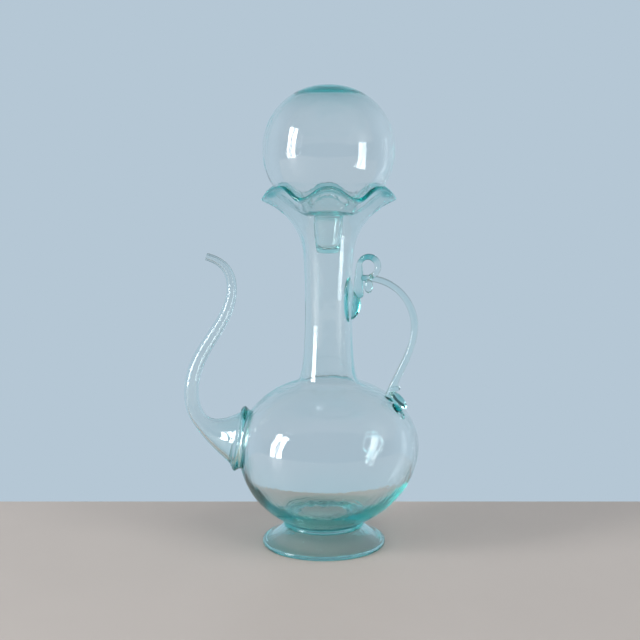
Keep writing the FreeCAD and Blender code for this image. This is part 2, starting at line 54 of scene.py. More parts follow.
# The bulb and neck: (radius, height) landmarks of the outer skin.
BULB = 77.0
BULB_LEVEL = 85.0
BULB_DROP = 71.7
BULB_RISE = 59.2
NECK_ROOT = 26.0
WAIST = 19.9
THROAT = 21.7
SHOULDER_LEVEL = BULB_LEVEL + BULB_RISE * math.sqrt(1 - (NECK_ROOT / BULB) ** 2)
WAIST_LEVEL = SHOULDER_LEVEL + 64.0
THROAT_LEVEL = WAIST_LEVEL + 45.0
RIM_LEVEL = THROAT_LEVEL + 50.5
ROUND = 0.5523  # share of the radius at which a Bezier handle makes a quarter ellipse

# The ruffled rim.
RIM = 51.7
RIM_PINCH = 1.8
RIM_WAVE = 5.1
WAVES = 6
BEAD = 2.1

# The foot, off the bulb's axis towards the spout.
FOOT = 53.3
FOOT_SHIFT = 3.8
COLLAR = 33.4
COLLAR_LEVEL = 17.0

# The handle's plane, turned towards the front.
HANDLE_TURN = math.radians(-15)

# The spout: where its root lies on the bulb, its radii and how finely it is drawn.
SPOUT_LIFT = 5.7
SPOUT_LEVEL = BULB_LEVEL + SPOUT_LIFT
SPOUT_ROOT = BULB * math.sqrt(1 - (SPOUT_LIFT / BULB_RISE) ** 2)
ROOT_INSET = 3.2
ROOT_SLOPE = 0.17
SPOUT_FLARE = 26.8
SPOUT_STEM = 6.8
SPOUT_END = 3.1
SPOUT_GLASS = 1.6
SPOUT_STEP = 1.5

# The stopper.
BALL = 55.0
PEG_ROOT = 13.3
PEG_TIP = 10.0

# The glass: how much light a metre takes off, the colour it lets through, and its tone where it
# is clearest and deepest.
GLASS_DENSITY = 30.0
GLASS_KEEPS = (0.0, 0.868, 0.86, 1)
CLEAR_TONE = (1, 1, 1, 1)
DEEP_TONE = (0.05, 0.62, 0.62, 1)

# The room and the camera, in metres and degrees.
EYE = (-0.0071, -1.020, 0.340)
LOOKS_DOWN = 8.2
SKY = (0.462, 0.571, 0.665)
FLOOR = (0.52, 0.47, 0.43)
ROOM_LIGHT = (0.80, 0.84, 0.90, 1)
TABLE_BACK = 0.118
BOUNCES = 160


def bezier(poles, count, end=False):
    """Points of a cubic Bezier curve: the sum over k of C(3,k) t^k (1-t)^(3-k) times pole k."""
    t = np.linspace(0, 1, count + 1)[: None if end else -1, None]
    p = np.asarray(poles, float)
    return ((1 - t) ** 3 * p[0] + 3 * t * (1 - t) ** 2 * p[1]
            + 3 * t ** 2 * (1 - t) * p[2] + t ** 3 * p[3])


def even(points, step):
    """The same polyline with its points an even step apart along it."""
    lengths = np.r_[0, np.cumsum(np.linalg.norm(np.diff(points, axis=0), axis=1))]
    count = max(2, int(round(lengths[-1] / step)) + 1)
    at = np.linspace(0, lengths[-1], count)
    return np.stack([np.interp(at, lengths, points[:, axis]) for axis in range(points.shape[1])], 1)


def softened(points, reach):
    """A polyline blurred along itself by a Gaussian whose width is reach points, ends kept."""
    half = int(3 * reach) + 1
    weights = np.exp(-0.5 * (np.arange(-half, half + 1) / reach) ** 2)
    weights /= weights.sum()
    start = 2 * points[0] - points[half:0:-1]
    finish = 2 * points[-1] - points[-2:-half - 2:-1]
    padded = np.concatenate([start, points, finish])
    blurred = [np.convolve(padded[:, axis], weights, "valid") for axis in range(points.shape[1])]
    return np.stack(blurred, 1)


def smoothstep(x):
    """3x^2 - 2x^3 between 0 and 1, level outside."""
    x = np.clip(x, 0, 1)
    return x * x * (3 - 2 * x)


def closed_mesh(name, rings, poles=True):
    """A closed skin from an array of rings (ring, column, xyz) in millimetres.

    Neighbouring rings are joined by quads. A pole is a fan from an end ring to its middle. Without
    poles the last ring joins the first one.
    """
    count, columns, _ = rings.shape
    places = rings.reshape(-1, 3)
    here = np.arange(count * columns).reshape(count, columns)
    after = np.roll(here, -1, 1)
    if poles:
        quads = np.stack([here[:-1], after[:-1], after[1:], here[1:]], -1).reshape(-1, 4)
    else:
        nexts, nexts_after = np.roll(here, -1, 0), np.roll(after, -1, 0)
        quads = np.stack([here, after, nexts_after, nexts], -1).reshape(-1, 4)
    faces = quads.tolist()
    if poles:
        bottom, top = len(places), len(places) + 1
        places = np.concatenate([places, rings[0].mean(0)[None], rings[-1].mean(0)[None]])
        faces += np.stack([after[0], here[0], np.full(columns, bottom)], -1).tolist()
        faces += np.stack([here[-1], after[-1], np.full(columns, top)], -1).tolist()
    mesh = bpy.data.meshes.new(name)
    mesh.from_pydata((places * MM).tolist(), [], faces)
    mesh.update()
    piece = bpy.data.objects.new(name, mesh)
    bpy.context.scene.collection.objects.link(piece)
    return piece


def turned(profile, columns, shift=0.0):
    """Rings of a profile of (radius, height) points carried once round the Z axis."""
    angles = np.arange(columns) / columns * TURN
    r, z = profile[:, 0, None], profile[:, 1, None]
    return np.stack([r * np.cos(angles) + shift, r * np.sin(angles), z + 0 * angles], -1)


def volume(piece):
    """Signed volume of a closed mesh: a sixth of the sum of its triangles' triple products."""
    mesh = piece.data
    mesh.calc_loop_triangles()
    corners = np.zeros(len(mesh.loop_triangles) * 3, np.int32)
    mesh.loop_triangles.foreach_get("vertices", corners)
    places = np.zeros(len(mesh.vertices) * 3)
    mesh.vertices.foreach_get("co", places)
    a, b, c = places.reshape(-1, 3)[corners.reshape(-1, 3)].transpose(1, 0, 2)
    return np.einsum("ij,ij->", a, np.cross(b, c)) / 6


def outwards(piece):
    """Turns a closed mesh so that its faces point out of the glass."""
    if volume(piece) < 0:
        piece.data.flip_normals()
    return piece


def profile_of_bulb():
    """Outer (radius, height) profile from the bulb's underside up to the throat."""
    corner = SHOULDER_LEVEL - BULB_LEVEL
    half = math.sqrt((BULB - NECK_ROOT) / (BULB + NECK_ROOT))
    reach = 4 / 3 * (math.sqrt(1 + half * half) - 1) / half
    low = BULB_LEVEL - BULB_DROP
    waist_rise, throat_rise = WAIST_LEVEL - SHOULDER_LEVEL, THROAT_LEVEL - WAIST_LEVEL
    line = np.concatenate([
        bezier([(0, low), (BULB * ROUND, low), (BULB, BULB_LEVEL - BULB_DROP * ROUND),
                (BULB, BULB_LEVEL)], 900),
        bezier([(BULB, BULB_LEVEL), (BULB, BULB_LEVEL + BULB_RISE * reach),
                (NECK_ROOT + corner / BULB_RISE * BULB * reach,
                 SHOULDER_LEVEL - NECK_ROOT / BULB * BULB_RISE * reach),
                (NECK_ROOT, SHOULDER_LEVEL)], 900),
        bezier([(NECK_ROOT, SHOULDER_LEVEL),
                (NECK_ROOT - (NECK_ROOT - WAIST) * 0.75, SHOULDER_LEVEL + waist_rise * 0.09),
                (WAIST, WAIST_LEVEL - waist_rise * 0.45), (WAIST, WAIST_LEVEL)], 500),
        bezier([(WAIST, WAIST_LEVEL), (WAIST, WAIST_LEVEL + throat_rise * 0.4),
                (THROAT - throat_rise * 0.022, THROAT_LEVEL - throat_rise * 0.3),
                (THROAT, THROAT_LEVEL)], 400, end=True),
    ])
    line = even(line, 0.5)
    # The neck runs into the shoulder through a small hollow, as soft glass does.
    near = np.exp(-((line[:, 1] - SHOULDER_LEVEL) / 6.0) ** 2)[:, None]
    return line * (1 - near) + softened(line, 5.0) * near


def wall_at(height):
    """Glass thickness up the vessel: thick at the bottom, thinnest round the bulb's middle."""
    levels = (13, 20, 32, 45, 60, 85, 118, 141, 150, 205, 250)
    glass = (5.4, 4.7, 3.5, 2.4, 1.4, 1.0, 1.1, 1.9, 1.9, 1.5, 1.6)
    return np.interp(height, levels, glass)


def normals_of(line):
    """Unit normals of a (radius, height) polyline, to the right of its way."""
    ahead = np.gradient(line, axis=0)
    ahead /= np.linalg.norm(ahead, axis=-1, keepdims=True)
    return np.stack([ahead[..., 1], -ahead[..., 0]], -1)


def rim_at(angle):
    """Radius and height of the rim's middle line.

    radius = mean + pinch cos 6b and height = level - 0.93 wave (cos 6b + 0.12 cos 12b), where b is
    the angle a drawn a little together at front and back and at one place more. Small sines of a,
    2a, 3a and 4a make both uneven.
    """
    drawn = angle - 0.115 * np.sin(2 * angle) - 0.05 * np.exp(-((angle - 3.87) / 0.35) ** 2)
    swing = np.cos(WAVES * drawn)
    r = RIM + RIM_PINCH * swing + 0.25 * np.sin(angle + 0.6) + 0.2 * np.sin(4 * angle + 2)
    z = (RIM_LEVEL - 0.93 * RIM_WAVE * (swing + 0.12 * np.cos(2 * WAVES * drawn))
         - 0.3 * np.cos(2 * angle) + 0.3 * np.sin(3 * angle + 1.0))
    return r, z


def vessel(columns=156):
    """The hollow bulb, neck and lip as one closed skin, from the outer pole over the rim inwards.

    At angle a the neck's outer line runs on as the outer side of the lip, whose middle line is a
    Bezier curve out to the waving rim. A half circle makes the rim's bead, and the inner side comes
    back down. Radii wander by a few tenths of a millimetre, more on the inner side.
    """
    outer = profile_of_bulb()
    inner = outer - normals_of(outer) * wall_at(outer[:, 1])[:, None]
    inner[0, 0] = 0
    inner = inner[inner[:, 0] >= 0]
    inner = softened(even(inner, 0.5), 3.0)
    body = even(outer, 2.1)
    back = even(inner, 2.1)
    angles = np.arange(columns) / columns * TURN
    rim_r, rim_z = rim_at(angles)
    depth = RIM_LEVEL - THROAT_LEVEL
    root = np.stack([np.full(columns, THROAT - 0.8), np.full(columns, THROAT_LEVEL)], -1)
    poles = np.stack([
        root,
        root + np.array([0.03 * depth, 0.33 * depth]),
        np.stack([root[:, 0] + 0.21 * depth,
                  RIM_LEVEL - 0.31 * depth - 0.2 * (RIM_LEVEL - rim_z)], -1),
        np.stack([rim_r, rim_z], -1),
    ])
    u = np.linspace(0, 1, 38)[:, None, None]
    line = ((1 - u) ** 3 * poles[0] + 3 * u * (1 - u) ** 2 * poles[1]
            + 3 * u ** 2 * (1 - u) * poles[2] + u ** 3 * poles[3])
    ahead = np.gradient(line, axis=0)
    ahead /= np.linalg.norm(ahead, axis=-1, keepdims=True)
    side = np.stack([ahead[..., 1], -ahead[..., 0]], -1)
    half = np.interp(u[:, 0, 0], (0, 0.3, 0.7, 0.88, 1), (0.8, 0.85, 1.0, 1.5, BEAD))[:, None, None]
    up = line + side * half
    down = (line - side * half)[::-1]
    sweep = np.linspace(0, math.pi, 11)[1:-1, None, None]
    cap = line[-1] + BEAD * (np.cos(sweep) * side[-1] + np.sin(sweep) * ahead[-1])
    spread = np.ones((1, columns, 1))
    path = np.concatenate([
        body[1:-1, None] * spread, up, cap, down, (back[::-1])[1:-1, None] * spread,
    ])
    is_inner = np.r_[np.zeros(len(body) - 2 + len(up) + len(cap)),
                     np.ones(len(down) + len(back) - 2)]
    r, z = path[..., 0], path[..., 1]
    # Hand-made unevenness, fading at the poles and where the lip starts to wave.
    fade = smoothstep(r / 30) * (1 - smoothstep((z - 262) / 30))
    outside = (0.16 * np.sin(2 * angles + z * 0.021) + 0.07 * np.sin(5 * angles - z * 0.034 + 1.0)
               - 0.22)
    inside = (0.22 * np.sin(3 * angles + z * 0.027 + 0.4) + 0.10 * np.sin(7 * angles - z * 0.05)
              + 0.12 * np.sin(2 * angles - z * 0.06 + 2.0))
    wander = np.where(is_inner[:, None] > 0, inside, outside) * fade
    r = r + wander
    aside = -FOOT_SHIFT * smoothstep(1 - z / BULB_LEVEL)
    rings = np.stack([r * np.cos(angles) + aside, r * np.sin(angles), z], -1)
    return outwards(closed_mesh("vessel", rings))


def into_wall(places, depth=0.55):
    """Moves points that lie inside the bulb or neck out to the middle of its glass.

    A point deeper than a share of the wall under the outer skin goes straight out, away from the
    axis, or away from the bulb's middle below the shoulder.
    """
    outer = profile_of_bulb()
    x, y, z = places[..., 0], places[..., 1], places[..., 2]
    r = np.hypot(x, y)
    neck = z > SHOULDER_LEVEL - 1.0
    up = outer[outer[:, 1] > SHOULDER_LEVEL - 2]
    limit = np.interp(z, up[:, 1], up[:, 0]) - wall_at(z) * depth
    grow = np.where(neck & (r < limit), limit / np.maximum(r, 1e-6), 1.0)
    wide = BULB - wall_at(z) * depth
    tall = np.where(z > BULB_LEVEL, BULB_RISE, BULB_DROP) - wall_at(z) * depth
    share = np.sqrt((r / wide) ** 2 + ((z - BULB_LEVEL) / tall) ** 2)
    swell = np.where(~neck & (share < 1), 1 / np.maximum(share, 1e-6), 1.0)
    middle = np.array([0, 0, BULB_LEVEL])
    moved = np.stack([x * grow, y * grow, z], -1)
    return middle + (moved - middle) * swell[..., None]


def foot(columns=144):
    """The hollow foot and its collar: a closed band of (radius, height) points carried round.

    The band runs from the ground up the rounded edge and the cone, over three drawn threads of the
    collar, down into the bulb's glass and back along the hollow underside.
    """
    bead = 4.8
    glass = 3.4
    threads = []
    for radius, level in ((COLLAR - 0.4, COLLAR_LEVEL + 0.6), (COLLAR + 0.6, COLLAR_LEVEL + 4.2),
                          (COLLAR + 3.0, COLLAR_LEVEL + 7.6)):
        sweep = np.linspace(-0.45 * math.pi, 0.45 * math.pi, 14)
        thread = [radius + 2.4 * np.cos(sweep) - 0.6, level + 1.8 * np.sin(sweep)]
        threads.append(np.stack(thread, 1))
    band = np.concatenate([
        np.array([(FOOT - bead * 0.75, 0.0), (FOOT - bead * 0.4, 0.0)]),
        bezier([(FOOT - bead * 0.35, 0), (FOOT, 0), (FOOT, bead), (FOOT - bead * 0.6, bead)], 20),
        bezier([(FOOT - bead * 0.6, bead), (FOOT - bead * 1.6, bead + 0.6),
                (COLLAR + 3.2, COLLAR_LEVEL - 3.2), (COLLAR + 0.2, COLLAR_LEVEL - 1.4)], 36),
        *threads,
        np.array([(COLLAR - 0.5, 23.1), (COLLAR - 3.5, 20.9), (COLLAR - 6.5, 19.2),
                  (COLLAR - 9.0, 18.4), (COLLAR - 11.0, 17.9), (COLLAR - 12.0, 17.2)]),
        bezier([(COLLAR - 12, COLLAR_LEVEL - glass * 0.4), (COLLAR - 2, COLLAR_LEVEL - glass),
                (FOOT - bead * 2.2, bead - glass * 0.5), (FOOT - bead * 1.15, bead * 0.3)], 40),
    ])
    loop = np.concatenate([band, band[:1]])
    loop = even(loop, 0.95)[:-1]
    wide = np.concatenate([loop[-8:], loop, loop[:8]])
    loop = softened(wide, 0.5)[8:-8]
    loop[:, 1] = np.maximum(loop[:, 1], 0.0)
    rings = turned(loop, columns, -FOOT_SHIFT)
    return outwards(closed_mesh("foot", rings, poles=False))


def tube(name, line, radii, columns, over=None):
    """A closed round rod along a line of (x, z, y) points, with domed ends.

    Each ring stands square to the line, and radii is the rod's radius at each point. over is a
    change made to the finished rings.
    """
    line = np.asarray(line, float)
    ahead = np.gradient(line, axis=0)
    ahead /= np.linalg.norm(ahead, axis=1, keepdims=True)
    across = np.stack([-ahead[:, 1], ahead[:, 0], 0 * ahead[:, 0]], 1)
    across /= np.linalg.norm(across, axis=1, keepdims=True)
    depth = np.cross(ahead, across)
    angles = np.arange(columns) / columns * TURN
    r = np.asarray(radii, float)[:, None, None]
    rings = (line[:, None] + r * np.cos(angles)[:, None] * across[:, None]
             + r * np.sin(angles)[:, None] * depth[:, None])
    ends = []
    for index, way in ((0, -1), (-1, 1)):
        sweep = np.linspace(0, math.pi / 2, 7)[1:-1]
        push = way * ahead[index] * r[index, 0, 0] * 0.8
        flat = rings[index] - line[index]
        dome = (line[index] + flat * np.cos(sweep)[:, None, None]
                + push * np.sin(sweep)[:, None, None])
        ends.append(dome[::-1] if way < 0 else dome)
    rings = np.concatenate([ends[0], rings, ends[1]])
    rings = rings[..., [0, 2, 1]]  # (x, z, y) to (x, y, z)
    if over is not None:
        rings = over(rings)
    return outwards(closed_mesh(name, rings))


def swung(places, degrees=math.degrees(HANDLE_TURN)):
    """Points turned about the Z axis."""
    c, s = math.cos(math.radians(degrees)), math.sin(math.radians(degrees))
    x, y, z = places[..., 0], places[..., 1], places[..., 2]
    return np.stack([c * x - s * y, s * x + c * y, z], -1)


def spout_line():
    """The spout's middle line as (x, z) points from the root's plane to the tip."""
    def at(reach, height):
        return (-(SPOUT_ROOT + reach), SPOUT_LEVEL + height)

    lean = 39.6 * 0.6
    start, bend, upper, tip = at(-ROOT_INSET, 0), at(39.6, 40.3), at(4.5, 129.3), at(24.7, 155.6)
    return even(np.concatenate([
        bezier([start, at(lean, (lean + ROOT_INSET) * ROOT_SLOPE), (bend[0], bend[1] - 40.3 * 0.65),
                bend], 900),
        bezier([bend, (bend[0], bend[1] + (upper[1] - bend[1]) * 0.42),
                (upper[0], upper[1] - (upper[1] - bend[1]) * 0.36), upper], 900),
        bezier([upper, (upper[0], upper[1] + (tip[1] - upper[1]) * 0.55),
                (tip[0] + (upper[0] - tip[0]) * 0.66, tip[1] - (tip[1] - upper[1]) * 0.14), tip],
               400, end=True),
    ]), SPOUT_STEP)


def spout_radius(share, mouth, skin):
    """end + (stem - end)(1 - s^1.7) + (mouth - stem)(1 - 5s)^1.5 - skin, s the share of the way."""
    flare = np.clip(1 - 5 * share, 0, 1) ** 1.5
    return (SPOUT_END + (SPOUT_STEM - SPOUT_END) * (1 - share ** 1.7)
            + (mouth - SPOUT_STEM) * flare - skin)


def spout(columns=56):
    """The spout's outer form, filled: a pipe whose root spreads to a rounded seal on the bulb.

    Inside the seal the pipe goes on to the middle of the bulb's glass and is closed there by a cap
    that follows it.
    """
    line = spout_line()
    share = np.linspace(0, 1, len(line))
    radius = spout_radius(share, SPOUT_FLARE, 0)
    way = line[1] - line[0]
    way /= np.linalg.norm(way)
    # The seal: a rounded ring on the root's plane, and a short neck behind it, in the bulb's glass.
    back = np.array([8, 6, 4.2, 2.8, 1.4, 0.2, -0.8, -1.6, -2.5, -3.4, -4.2, -5.0])
    ring = np.array([25.2, 25.2, 25.3, 25.4, 25.7, 26.6, 27.6, 28.0, 28.0, 27.5, 26.5, 25.3])
    start = line[0] - back[:, None] * way
    keep = share * (len(line) - 1) * SPOUT_STEP > 5.4
    path = np.concatenate([start, line[keep]])
    radii = np.concatenate([ring, radius[keep]])
    ahead = np.gradient(path, axis=0)
    ahead[: len(back)] = way
    ahead /= np.linalg.norm(ahead, axis=1, keepdims=True)
    across = np.stack([-ahead[:, 1], ahead[:, 0]], 1)
    angles = np.arange(columns) / columns * TURN
    c, s = np.cos(angles), np.sin(angles)
    x = path[:, :1] + radii[:, None] * c * across[:, :1]
    z = path[:, 1:] + radii[:, None] * c * across[:, 1:]
    y = radii[:, None] * s + 0 * x
    rings = np.stack([x, y, z], -1)
    # The tip's rounded edge.
    sweep = np.linspace(0, math.pi / 2, 5)[1:]
    last = np.array([path[-1, 0], 0, path[-1, 1]])
    push = np.array([ahead[-1, 0], 0, ahead[-1, 1]])
    flat = rings[-1] - last
    edge = np.stack([last + flat * (1 - 0.22 * (1 - np.cos(q))) + push * 0.9 * np.sin(q)
                     for q in sweep])
    centre = rings[0].mean(0)
    cap = np.linspace(0.9, 0.25, 6)[:, None, None] * (rings[0] - centre) + centre
    rings = np.concatenate([cap[::-1], rings, edge])
    rings = into_wall(rings, 0.5)
    return outwards(closed_mesh("spout", rings))


def bore(columns=40):
    """The spout's channel, from inside the bulb out past the tip."""
    line = spout_line()
    share = np.linspace(0, 1, len(line))
    radius = spout_radius(share, SPOUT_FLARE - 3.0, SPOUT_GLASS)
    way = line[1] - line[0]
    way /= np.linalg.norm(way)
    end = line[-1] - line[-2]
    end /= np.linalg.norm(end)
    start = line[0] - np.array([13, 9, 5, 2])[:, None] * way
    finish = line[-1] + np.array([1.2, 3.0])[:, None] * end
    path = np.concatenate([start, line[1:], finish])
    flared = [radius[-1] + 0.35, radius[-1] + 0.8]
    radii = np.concatenate([np.full(4, radius[0]), radius[1:], flared])
    return tube("bore", np.c_[path, 0 * path[:, 0]], radii, columns)


def cushion(name, middle, halves, turn=0.0, over=None, rings=22, columns=36):
    """An ellipsoid with half-widths along X, Y and Z, turned about Y, placed and swung."""
    lat = np.linspace(-math.pi / 2, math.pi / 2, rings)[1:-1, None]
    lon = (np.arange(columns) / columns * TURN)[None]
    x = np.cos(lat) * np.cos(lon) * halves[0]
    y = np.cos(lat) * np.sin(lon) * halves[1]
    z = np.sin(lat) * halves[2] + 0 * lon
    c, s = math.cos(math.radians(turn)), math.sin(math.radians(turn))
    places = np.stack([x * c + z * s, y, -x * s + z * c], -1) + np.array(middle)
    places = swung(places)
    if over is not None:
        places = over(places)
    return outwards(closed_mesh(name, places))


def handle():
    """The rod handle's pieces: bow, strap, curl, bead, upper pads, and lower pads with a crimp."""
    top = WAIST_LEVEL + 22
    curl, curl_rod = 8.2, 2.7
    strap_at = WAIST + 3.8 + curl_rod
    middle = (strap_at + curl, top + curl_rod + curl + 1.5)
    belly = (WAIST + 53.6, WAIST_LEVEL - 15)
    foot_level = SHOULDER_LEVEL - 13
    foot_at = BULB * math.sqrt(1 - ((foot_level - BULB_LEVEL) / BULB_RISE) ** 2)
    end = (foot_at - 1.5, foot_level - 1)
    start = (strap_at, top + 2.5)
    bow_line = even(np.concatenate([
        bezier([start, (start[0] + (belly[0] - start[0]) * 0.62, top + 5.5),
                (belly[0], belly[1] + 22), belly], 600),
        bezier([belly, (belly[0], belly[1] - 22), (end[0] + 3.5, end[1] + 18), end], 600, end=True),
    ]), 1.2)
    way = np.linspace(0, 1, len(bow_line))
    bow_radius = (2.95 - 0.5 * np.exp(-way * 7) + 1.2 * np.exp(-(1 - way) * 22)
                  + 0.08 * np.sin(way * 17))
    pieces = [tube("bow", np.c_[bow_line, 0 * way], bow_radius, 28,
                   over=lambda p: into_wall(swung(p)))]
    heights = np.array([top - 11.5, top - 8, top, top + 8, middle[1] + 0.5])
    strap_x = np.array([strap_at - 0.2, strap_at - 0.4, strap_at - 0.4, strap_at, strap_at])
    strap_r = np.array([3.9, 4.2, 4.0, 3.2, curl_rod - 0.2])
    z = np.linspace(heights[0], heights[-1], 44)
    strap_line = softened(np.stack([np.interp(z, heights, strap_x), z], 1), 3.0)
    pieces.append(tube("strap", np.c_[strap_line, 0 * z],
                       softened(np.interp(z, heights, strap_r)[:, None], 3.0)[:, 0], 28,
                       over=lambda p: into_wall(swung(p))))
    turns = np.radians(np.linspace(180, -70, 60))
    drift = -3.4 * (math.pi - turns) / math.radians(250)
    loop_line = np.stack([middle[0] + curl * np.cos(turns),
                          middle[1] + curl * np.sin(turns), drift], 1)
    thick = curl_rod - 0.15 + 0.3 * np.sin(turns * 1.7 + 0.5)
    pieces.append(tube("curl", loop_line, thick, 28, over=swung))
    hanging = (middle[0] + 0.6, -3.6, middle[1] - curl - 7.6)
    pieces.append(cushion("bead", hanging, (3.6, 3.6, 6.0)))
    for name, place, halves, turn in (
        ("leaf", (WAIST - 1.2, -4.5, top - 15), (3.8, 10.5, 19.0), 0),
        ("drop", (WAIST - 0.2, -1.0, top - 20), (8.2, 6.0, 12.5), 6),
        ("sole", (60.6, -1.5, 128.2), (9.5, 6.8, 3.8), 44),
        ("tail", (62.2, -7.5, 119.5), (8.0, 4.4, 3.3), 54),
        ("crimp", (57.6, -0.5, 137.6), (4.4, 4.0, 2.7), 4),
    ):
        pieces.append(cushion(name, place, halves, turn, into_wall))
    return pieces


def melted(name, base, joins, cuts):
    """One closed mesh: base with the joins added and the cuts taken away."""
    for other, operation in [(o, "UNION") for o in joins] + [(o, "DIFFERENCE") for o in cuts]:
        change = base.modifiers.new(other.name, "BOOLEAN")
        change.solver = "MANIFOLD"
        change.operation = operation
        change.object = other
    bpy.context.view_layer.update()
    seen = base.evaluated_get(bpy.context.evaluated_depsgraph_get())
    mesh = bpy.data.meshes.new_from_object(seen)
    mesh.name = name
    mesh.materials.clear()
    for thing in [base] + joins + cuts:
        bpy.data.objects.remove(thing)
    piece = bpy.data.objects.new(name, mesh)
    bpy.context.scene.collection.objects.link(piece)
    return piece


def tinted(piece, spots):
    """Writes how deep the glass's own colour is at each vertex as the attribute depth.

    Each spot is (middle, half-widths, amount): amount exp(-d^4), d the distance over the
    half-widths. A rim is (None, (radius, height, width), amount), round the Z axis. A product of
    three sines speckles the sum.
    """
    mesh = piece.data
    places = np.zeros(len(mesh.vertices) * 3, np.float32)
    mesh.vertices.foreach_get("co", places)
    x, y, z = (places.reshape(-1, 3) / MM).T
    depth = np.zeros(len(x))
    for middle, wide, amount in spots:
        if middle is None:
            radius, height, width = wide
            away = (((np.hypot(x, y) - radius) / width) ** 2
                    + ((z - height) / width / 1.6) ** 2)
        else:
            away = sum(((v - m) / w) ** 2 for v, m, w in zip((x, y, z), middle, wide))
        depth = np.maximum(depth, amount * np.exp(-away ** 2))
    speckle = (np.sin(x * 1.9 + 2 * np.sin(z * 0.8)) * np.sin(z * 1.6 + 1.4 * np.sin(y * 1.1))
               * np.sin(y * 1.5 + x))
    depth = np.clip(depth * (1 + 0.35 * speckle), 0, 1).astype(np.float32)
    mesh.attributes.new("depth", "FLOAT", "POINT").data.foreach_set("value", depth)


def smooth(piece, degrees=38):
    """Smooth shading, with creases where faces meet at more than an angle."""
    piece.data.shade_smooth()
    piece.data.set_sharp_from_angle(angle=math.radians(degrees))


def side_of_ball(middle, radius, mouth, crown):
    """(radius, height) profile of the ball from its mouth at the peg round to its flattened top."""
    drop = math.sqrt(radius ** 2 - mouth ** 2)
    half = math.sqrt((radius - mouth) / (radius + mouth))
    reach = 4 / 3 * (math.sqrt(1 + half * half) - 1) / half
    return np.concatenate([
        bezier([(mouth, middle - drop), (mouth + drop * reach, middle - drop + mouth * reach),
                (radius, middle - radius * reach), (radius, middle)], 700),
        bezier([(radius, middle), (radius, middle + (crown - middle) * ROUND),
                (radius * 0.6, crown), (0, crown)], 600, end=True),
    ])


def stopper(columns=144):
    """The stopper: a hollow ball with a thick flattened top and a closed tapered peg, two skins.

    At angle a the outer skin wanders by 0.10 sin(2a + 0.03 z) and the inner one by
    0.14 sin(3a + 0.035 z + 1) + 0.07 sin(5a - 0.05 z), fading towards the axis.
    """
    low, top = (corner.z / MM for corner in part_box("stopper"))
    middle = top + 1.6 - BALL
    wall = side_of_ball(middle, BALL, PEG_ROOT, top)
    outer = np.concatenate([
        np.array([(0, low), (8.0, low)]),
        bezier([(8.0, low), (9.3, low), (PEG_TIP, low + 0.8), (PEG_TIP, low + 2.4)], 10),
        np.linspace((PEG_TIP, low + 2.4), wall[0], 18)[:-1],
        wall,
    ])
    # Inside, the ball's glass is thin but for a gather at the peg, and under the flat top.
    thick = 0.85 + 2.0 * smoothstep((26 - wall[:, 0]) / 12) * (wall[:, 1] < middle)
    wall = wall + normals_of(wall) * -thick[:, None]
    wall[:, 1] = np.minimum(wall[:, 1], top - 7.2)
    wall = wall[wall[:, 0] > 10.4]
    inner = np.concatenate([
        np.array([(0, low + 3.4), (3.8, low + 3.5)]),
        bezier([(4.5, low + 3.6), (7.0, low + 4.0), (8.1, low + 5.2), (8.1, low + 7.0)], 10),
        np.linspace((8.1, low + 7.0), wall[0], 16)[:-1],
        wall,
        np.array([(0, top - 7.0)]),
    ])
    angles = np.arange(columns) / columns * TURN
    skins = []
    for name, line in (("stopper_outer", outer), ("stopper_inner", inner)):
        line = softened(even(line, 0.4), 2.2)
        line[0, 0] = line[-1, 0] = 0
        line = even(line, 1.5)[1:-1]
        r, z = line[:, 0, None], line[:, 1, None]
        if name == "stopper_outer":
            wander = 0.10 * np.sin(2 * angles + z * 0.03) - 0.1
        else:
            wander = (0.14 * np.sin(3 * angles + z * 0.035 + 1)
                      + 0.07 * np.sin(5 * angles - z * 0.05))
        r = r + wander * smoothstep(r / 25)
        rings = np.stack([r * np.cos(angles), r * np.sin(angles), z + 0 * angles], -1)
        skins.append(outwards(closed_mesh(name, rings)))
    return melted("stopper_body", skins[0], [], [skins[1]])


class Wire:
    """A node socket with arithmetic: an expression on wires adds its Math nodes."""

    def __init__(self, tree, socket):
        self.tree = tree
        self.socket = socket

    def maths(self, operation, *others):
        node = self.tree.nodes.new("ShaderNodeMath")
        node.operation = operation
        for place, value in zip(node.inputs, (self, *others)):
            if isinstance(value, Wire):
                self.tree.links.new(value.socket, place)
            else:
                place.default_value = value
        return Wire(self.tree, node.outputs[0])

    def clamped(self):
        return self.maths("MAXIMUM", 0.0).maths("MINIMUM", 1.0)

    def __add__(self, other):
        return self.maths("ADD", other)

    def __sub__(self, other):
        return self.maths("SUBTRACT", other)

    def __mul__(self, other):
        return self.maths("MULTIPLY", other)

    def __rsub__(self, other):
        return self.maths("MULTIPLY", -1).maths("ADD", other)

    __radd__ = __add__
    __rmul__ = __mul__


